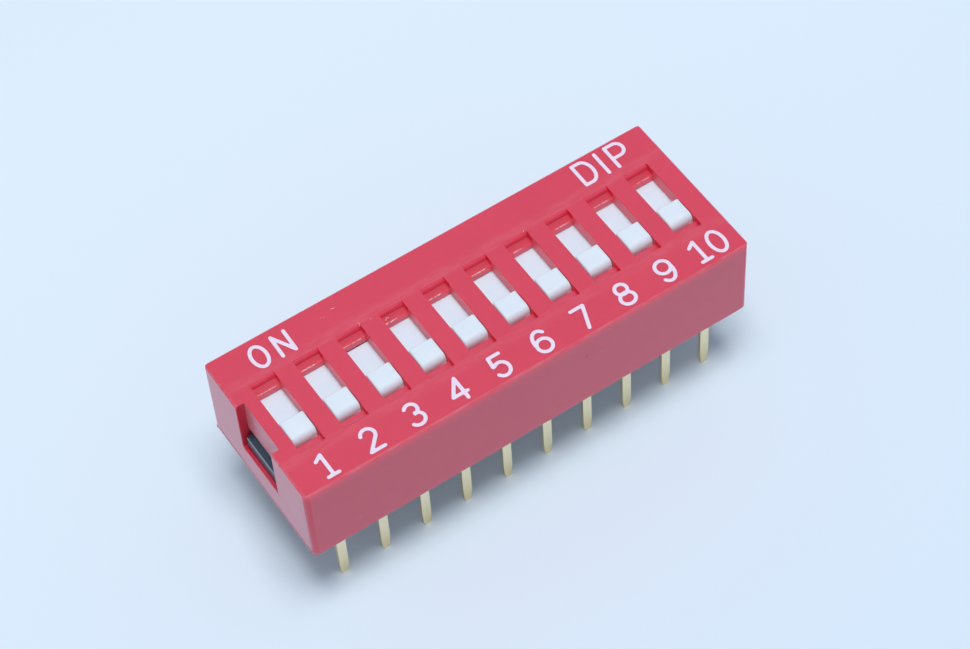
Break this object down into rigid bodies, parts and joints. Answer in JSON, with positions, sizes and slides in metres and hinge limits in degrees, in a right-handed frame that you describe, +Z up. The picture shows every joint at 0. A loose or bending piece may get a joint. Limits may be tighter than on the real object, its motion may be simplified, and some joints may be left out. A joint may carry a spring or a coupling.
{
  "type": "dip switch",
  "caption": "Red block of small slide switches: white sliders in stepped slots, a snapped-in black base and rows of flat pins for a circuit board.",
  "frame": {"origin": "centre of the seat under the base, where the part meets the board", "axes": "+X along the numbered row from the first switch to the last, +Y towards the on side, +Z up, away from the board"},
  "size_m": [0.0268, 0.0098, 0.0101],
  "materials": {
    "cover_red": "moulded, satin to gloss",
    "base_black": "moulded, satin",
    "slider_white": "moulded, satin",
    "terminal_plate": "plated, pale",
    "contact_gold": "plated, bright"
  },
  "bodies": {
    "housing": {"cover": "cover_red", "base": "base_black", "front_terminal_1": "terminal_plate", "front_terminal_2": "terminal_plate", "front_terminal_3": "terminal_plate", "front_terminal_4": "terminal_plate", "front_terminal_5": "terminal_plate", "front_terminal_6": "terminal_plate", "front_terminal_7": "terminal_plate", "front_terminal_8": "terminal_plate", "front_terminal_9": "terminal_plate", "front_terminal_10": "terminal_plate", "back_terminal_1": "terminal_plate", "back_terminal_2": "terminal_plate", "back_terminal_3": "terminal_plate", "back_terminal_4": "terminal_plate", "back_terminal_5": "terminal_plate", "back_terminal_6": "terminal_plate", "back_terminal_7": "terminal_plate", "back_terminal_8": "terminal_plate", "back_terminal_9": "terminal_plate", "back_terminal_10": "terminal_plate"},
    "switch_1": {"slider_1": "slider_white", "contact_1": "contact_gold"},
    "switch_2": {"slider_2": "slider_white", "contact_2": "contact_gold"},
    "switch_3": {"slider_3": "slider_white", "contact_3": "contact_gold"},
    "switch_4": {"slider_4": "slider_white", "contact_4": "contact_gold"},
    "switch_5": {"slider_5": "slider_white", "contact_5": "contact_gold"},
    "switch_6": {"slider_6": "slider_white", "contact_6": "contact_gold"},
    "switch_7": {"slider_7": "slider_white", "contact_7": "contact_gold"},
    "switch_8": {"slider_8": "slider_white", "contact_8": "contact_gold"},
    "switch_9": {"slider_9": "slider_white", "contact_9": "contact_gold"},
    "switch_10": {"slider_10": "slider_white", "contact_10": "contact_gold"}
  },
  "joints": [
    {"name": "slide_1", "type": "slide", "parent": "housing", "child": "switch_1", "axis": [0, 1, 0], "range_m": [0, 0.0022]},
    {"name": "slide_2", "type": "slide", "parent": "housing", "child": "switch_2", "axis": [0, 1, 0], "range_m": [0, 0.0022]},
    {"name": "slide_3", "type": "slide", "parent": "housing", "child": "switch_3", "axis": [0, 1, 0], "range_m": [0, 0.0022]},
    {"name": "slide_4", "type": "slide", "parent": "housing", "child": "switch_4", "axis": [0, 1, 0], "range_m": [0, 0.0022]},
    {"name": "slide_5", "type": "slide", "parent": "housing", "child": "switch_5", "axis": [0, 1, 0], "range_m": [0, 0.0022]},
    {"name": "slide_6", "type": "slide", "parent": "housing", "child": "switch_6", "axis": [0, 1, 0], "range_m": [0, 0.0022]},
    {"name": "slide_7", "type": "slide", "parent": "housing", "child": "switch_7", "axis": [0, 1, 0], "range_m": [0, 0.0022]},
    {"name": "slide_8", "type": "slide", "parent": "housing", "child": "switch_8", "axis": [0, 1, 0], "range_m": [0, 0.0022]},
    {"name": "slide_9", "type": "slide", "parent": "housing", "child": "switch_9", "axis": [0, 1, 0], "range_m": [0, 0.0022]},
    {"name": "slide_10", "type": "slide", "parent": "housing", "child": "switch_10", "axis": [0, 1, 0], "range_m": [0, 0.0022]}
  ]
}
